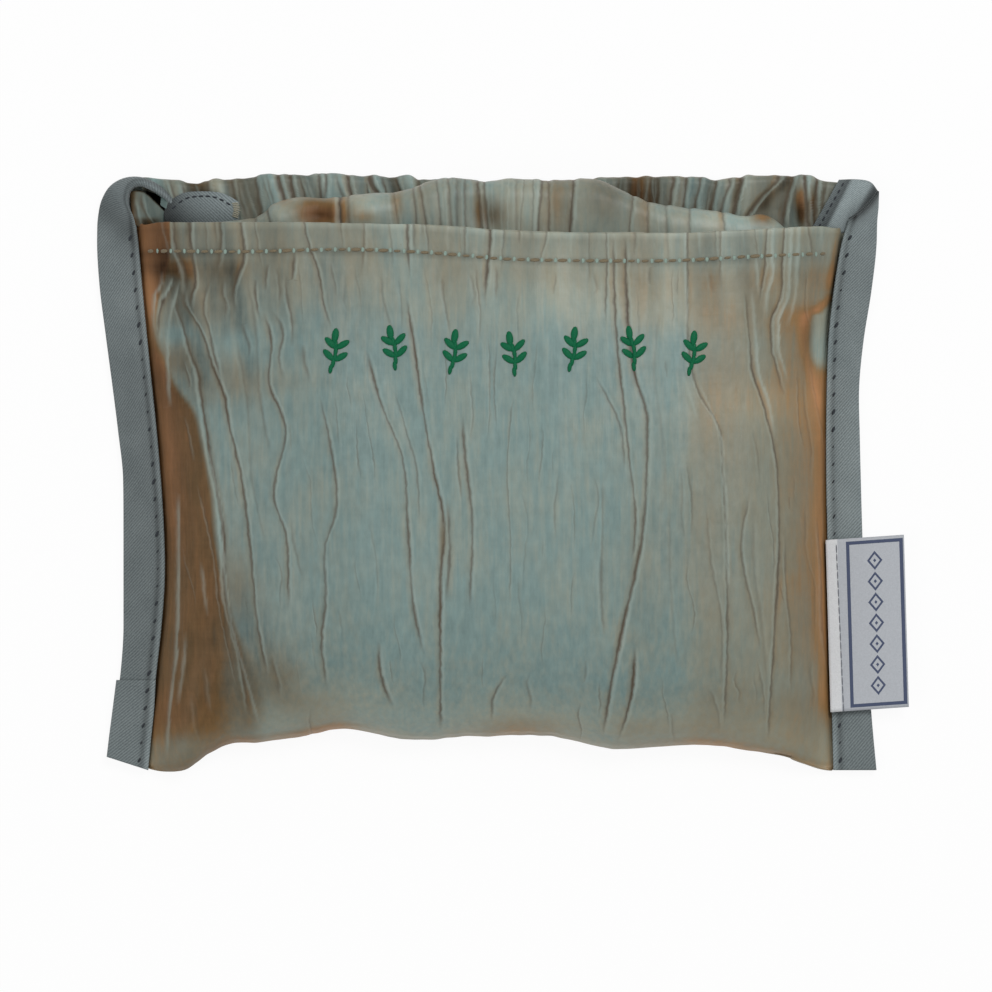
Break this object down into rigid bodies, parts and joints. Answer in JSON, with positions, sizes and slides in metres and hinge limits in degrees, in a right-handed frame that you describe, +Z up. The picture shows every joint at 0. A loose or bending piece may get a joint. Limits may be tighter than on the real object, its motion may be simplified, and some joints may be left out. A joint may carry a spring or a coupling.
{
  "type": "packable tote bag",
  "caption": "Crinkled cloth shopping tote folded into its own flat pouch, with taped side seams, a hemmed mouth and a side label.",
  "frame": {"origin": "middle of the back panel's flat underside, on the surface that the pouch lies on", "axes": "+X across the pouch towards the label side, +Y towards the mouth, +Z up out of the puffed front"},
  "size_m": [0.2029, 0.1486, 0.024],
  "materials": {
    "cloth": "crinkled two-tone taffeta, soft sheen",
    "tape": "twill tape, matt",
    "label": "woven label, matt",
    "strap": "doubled taffeta strap, soft sheen"
  },
  "bodies": {
    "pouch": {"front_panel": "cloth", "back_panel": "cloth", "left_binding": "tape", "right_binding": "tape", "label_sewn_edge": "label"},
    "label": {"label_flap": "label"},
    "tote": {"tote_body": "cloth", "front_handle": "strap", "back_handle": "strap"}
  },
  "joints": [
    {"name": "label_bend", "type": "hinge", "parent": "pouch", "child": "label", "pos_m": [0.08914, -0.03615, 0.0038], "axis": [0, -1, 0], "range_deg": [0, 130]},
    {"name": "tote_draw", "type": "slide", "parent": "pouch", "child": "tote", "axis": [0, 1, 0], "range_m": [0, 0.12]}
  ]
}
